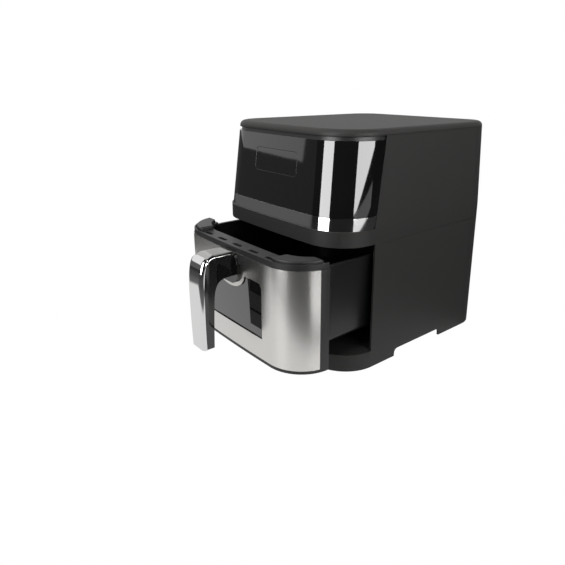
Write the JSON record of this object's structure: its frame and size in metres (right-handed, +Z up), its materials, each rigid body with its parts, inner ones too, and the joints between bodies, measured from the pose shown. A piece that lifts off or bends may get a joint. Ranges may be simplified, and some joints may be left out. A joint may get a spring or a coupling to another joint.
{
  "type": "air fryer",
  "caption": "Basket air fryer with a curved steel drawer front, window, bent handle, overhanging upper housing, fan, heater and crisper tray.",
  "frame": {"origin": "middle of the underside of the whole model's box, with the drawer drawn out", "axes": "+Z up, the drawer and handle face -Y, +X is the right-hand side seen from the front"},
  "size_m": [0.28, 0.4567, 0.327],
  "materials": {
    "matte_black": "fine moulded matte",
    "satin_black": "satin moulded",
    "gloss_black": "polished",
    "chrome": "polished",
    "smoked_chrome": "polished dark",
    "steel": "vertical brush",
    "window_glass": "dark tint",
    "clear_glass": "clear",
    "nonstick": "satin non-stick coat",
    "rubber": "matte",
    "silicone": "matte",
    "zinc_sheet": "plain rolled",
    "black_sheet": "baked black",
    "bright_steel": "drawn",
    "cast_aluminium": "plain",
    "copper": "enamelled wire",
    "lamination": "rolled stack",
    "circuit_board": "lacquered",
    "board_part": "moulded"
  },
  "bodies": {
    "housing": {"lower_housing": "matte_black", "base_plinth": "matte_black", "foot_skirts": "matte_black", "base_cover": "satin_black", "rubber_feet": "rubber", "base_screws": "bright_steel", "bay_liner": "black_sheet", "bay_rails": "satin_black", "upper_housing": "matte_black", "top_cover": "matte_black", "chrome_band": "chrome", "front_panel": "gloss_black", "display_window": "gloss_black", "panel_carrier": "satin_black", "control_board": "circuit_board", "rear_grille": "satin_black", "rear_spacers": "satin_black", "cord_gland": "rubber", "mains_terminal": "board_part", "heater_housing": "zinc_sheet", "heating_element": "bright_steel", "element_clips": "zinc_sheet", "element_guard": "bright_steel", "guard_posts": "bright_steel", "temperature_sensor": "bright_steel", "thermal_fuse": "board_part", "air_duct": "zinc_sheet", "heat_shield": "zinc_sheet", "motor_bracket_lower": "zinc_sheet", "motor_laminations": "lamination", "motor_coil": "copper", "motor_bracket_upper": "zinc_sheet", "motor_studs": "bright_steel", "power_board": "circuit_board", "board_parts": "board_part", "drawer_switch": "board_part"},
    "rotor": {"motor_shaft": "bright_steel", "rotor_core": "lamination", "convection_fan": "cast_aluminium", "cooling_fan": "board_part", "fan_nut": "bright_steel"},
    "plunger": {"switch_plunger": "satin_black"},
    "drawer": {"drawer_front": "satin_black", "steel_skin": "steel", "window_glass": "window_glass", "window_gasket": "silicone", "drawer_inner_panel": "satin_black", "drawer_bezel": "satin_black", "corner_pads": "satin_black", "pan": "nonstick", "pan_window": "clear_glass", "window_seal": "silicone", "pan_brackets": "black_sheet", "handle_body": "gloss_black", "handle_face": "chrome", "handle_arm_cover": "smoked_chrome", "handle_root_pad": "gloss_black", "handle_screws": "bright_steel"},
    "tray": {"crisper_tray": "nonstick", "tray_bumpers": "silicone"}
  },
  "joints": [
    {"name": "drawer_slide", "type": "slide", "parent": "housing", "child": "drawer", "axis": [0, -1, 0], "range_m": [-0.0785, 0.185]},
    {"name": "tray_lift", "type": "slide", "parent": "drawer", "child": "tray", "axis": [0, 0, 1], "range_m": [0, 0.08]},
    {"name": "fan_spin", "type": "hinge", "parent": "housing", "child": "rotor", "pos_m": [0, 0.05135, 0.2], "axis": [0, 0, 1], "continuous": true},
    {"name": "switch_press", "type": "slide", "parent": "housing", "child": "plunger", "axis": [0, 1, 0], "range_m": [0, 0.003], "stiffness_N_per_m": 300, "springref_m": -0.002}
  ]
}
